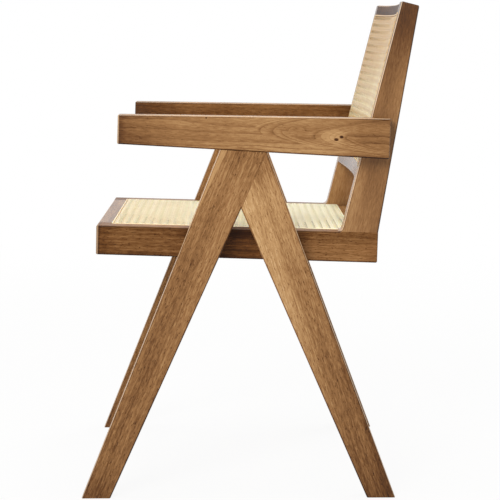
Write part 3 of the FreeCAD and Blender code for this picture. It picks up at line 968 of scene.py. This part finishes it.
# %% The cane finish
cane_stops = ((0.15, srgb(208, 172, 122)), (0.5, srgb(229, 204, 161)), (0.85, srgb(254, 240, 200)))
cane_scales = {"tint": (4.0, 330.0, 20.0), "lines": (40.0, 4200.0, 1500.0), "stains": (9.0, 12.0, 12.0)}
cane_speck = srgb(120, 84, 48)
speck_scales = (160.0, 620.0, 300.0)
speck_share = 0.6
speck_range = (0.70, 0.78)
cane_gloss = 0.34
line_relief = 0.05 * MM
cane_depth = {"Subsurface Weight": 0.5, "Subsurface Radius": (1.0, 0.8, 0.5), "Subsurface Scale": 1.5 * MM}


def cane_finish(name, middle, axes, shade, panel_name):
    """A finish for strands that all run one way."""
    material, start, shader = new_finish(name)
    place = grain_place(start, middle, axes)
    tint, lines, stains = [place.noise(scales) for scales in cane_scales.values()]
    specks = (place.noise(speck_scales, detail=1.0) + 0.5).ramp(*speck_range)
    # The layer's painted shade darkens the crosswise strands and lightens the others; on the back it also
    # adds a plain darker tone.
    tone = (0.5 - shade) + tint * 0.5 + lines * 0.3 + stains * 0.4
    # The place on the chair gives the seat painted light and the back its painted shade in rows.
    tone = tone + painted_light_and_tone[panel_name](start.node("ShaderNodeTexCoord", output="Object"))
    (specks * speck_share).blended(tone.toned(cane_stops), cane_speck).into(shader["Base Color"])
    (lines * 0.2 + cane_gloss).into(shader["Roughness"])
    lines.bump(relief_strength, line_relief).into(shader["Normal"])
    for socket, value in cane_depth.items():
        shader[socket].default_value = value
    return material


back_shade = 0.12
for layer, panel_name, place, degrees, shade in cane_layers:
    turn = place.to_3x3() @ Matrix.Rotation(math.radians(degrees), 3, "Z")
    along, out = turn.col[1], turn.col[2]
    shade = shade + (back_shade if panel_name == "back" else 0.0)
    axes = (along, out.cross(along), out)
    layer.data.materials.append(cane_finish(layer.name, place.translation, axes, shade, panel_name))
print(len(cane_layers), "cane layers finished")

# %% [markdown]
# The spline is one long reed, soaked and pressed into the groove. Its path is a plane of the panel's
# size with rounded corners and no face, turned into a curve with a round section and back into a mesh.

# %% The splines
spline_width = 3.0 * MM
spline_corner = 5.85 * MM - spline_width / 2
corner_segments = 6
path_cuts = 31


def spline(panel_name, panel, depth):
    """The reed that holds a cane panel in its groove."""
    place, half_width, half_length = panel
    radius = spline_width / 2
    bpy.ops.object.select_all(action="DESELECT")
    bpy.ops.mesh.primitive_plane_add(size=2)
    reed = bpy.context.object
    reed.name = panel_name + "_cane_reed"
    reed.scale = (half_width - radius, half_length - radius, 1)
    bpy.ops.object.transform_apply(location=True, rotation=True, scale=True)
    bpy.ops.object.mode_set(mode="EDIT")
    bpy.ops.mesh.select_all(action="SELECT")
    bpy.ops.mesh.bevel(offset=spline_corner, segments=corner_segments, affect="VERTICES")
    bpy.ops.mesh.delete(type="ONLY_FACE")
    bpy.ops.mesh.select_all(action="DESELECT")
    bpy.ops.object.mode_set(mode="OBJECT")
    for edge in reed.data.edges:
        first, last = [reed.data.vertices[end].co for end in edge.vertices]
        edge.select = (first - last).length > 2 * spline_corner
    bpy.ops.object.mode_set(mode="EDIT")
    bpy.ops.mesh.subdivide(number_cuts=path_cuts)
    bpy.ops.object.mode_set(mode="OBJECT")
    for vertex in reed.data.vertices:
        vertex.co.z = spline_proud - radius - depth(vertex.co.x)
    bpy.ops.object.convert(target="CURVE")
    reed.data.bevel_depth = radius
    reed.data.bevel_resolution = 3
    bpy.ops.object.convert(target="MESH")
    reed.matrix_world = place
    bpy.ops.object.transform_apply(location=True, rotation=True, scale=True)
    bpy.ops.object.shade_smooth()
    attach(reed, "root")
    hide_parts(panel_name + "_cane_spline")
    return reed


for panel_name, panel, depth in panels:
    reed = spline(panel_name, panel, depth)
    turn = panel[0].to_3x3()
    axes = (turn.col[0], turn.col[1], turn.col[2])
    reed.data.materials.clear()
    reed.data.materials.append(cane_finish(reed.name, panel[0].translation, axes, 0.0, panel_name))
    print(reed.name, len(reed.data.polygons), "faces")

# %% [markdown]
# The joints are hidden, but they are real pieces. The dowels are beech: pale, with short brown flecks
# along the grain. The screws are zinc plated steel with faint turning marks round the shank.

# %% Dowels and screws
beech_stops = ((0.0, srgb(186, 144, 100)), (1.0, srgb(226, 190, 146)))
beech_fleck = srgb(142, 96, 58)
beech_scales = (20.0, 500.0, 500.0)
fleck_scales = (300.0, 2000.0, 2000.0)
fleck_range = (0.62, 0.7)
steel_stops = ((0.0, srgb(150, 152, 156)), (1.0, srgb(206, 206, 200)))
turning_scales = (3000.0, 60.0, 60.0)
stain_scales = (200.0, 200.0, 200.0)
steel_relief = 0.03 * MM


def beech():
    """The finish of the dowels, whose grain runs along them."""
    material, start, shader = new_finish("beech")
    low, high = furthest("leg_joint_dowels", (0, -1, 0.2)), furthest("leg_joint_dowels", (0, 1, -0.2))
    along = Vector((0, high.y - low.y, high.z - low.z)).normalized()
    place = grain_place(start, (low + high) / 2, (along, ACROSS.cross(along), ACROSS))
    flecks = (place.noise(fleck_scales, detail=1.0) + 0.5).ramp(*fleck_range)
    tone = 0.5 + place.noise(beech_scales)
    (flecks * 0.5).blended(tone.toned(beech_stops), beech_fleck).into(shader["Base Color"])
    (0.55 + tone * 0.1).into(shader["Roughness"])
    return material


def screw_steel(name):
    """The finish of zinc plated screws that run along X."""
    material, start, shader = new_finish(name)
    place = start.node("ShaderNodeTexCoord", output="Object")
    marks = place.noise(turning_scales)
    stains = place.noise(stain_scales)
    (0.5 + stains + marks * 0.3).toned(steel_stops).into(shader["Base Color"])
    (0.34 + marks * 0.2 + stains * 0.1).into(shader["Roughness"])
    marks.bump(relief_strength, steel_relief).into(shader["Normal"])
    shader["Metallic"].default_value = 1.0
    return material


hidden_finishes = {"leg_joint_dowels": beech(),
                   "leg_screws": screw_steel("leg_screws"),
                   "arm_screws": screw_steel("arm_screws")}
for node, material in hidden_finishes.items():
    solids[node].data.materials.clear()
    solids[node].data.materials.append(material)
print("dowels and screws finished")
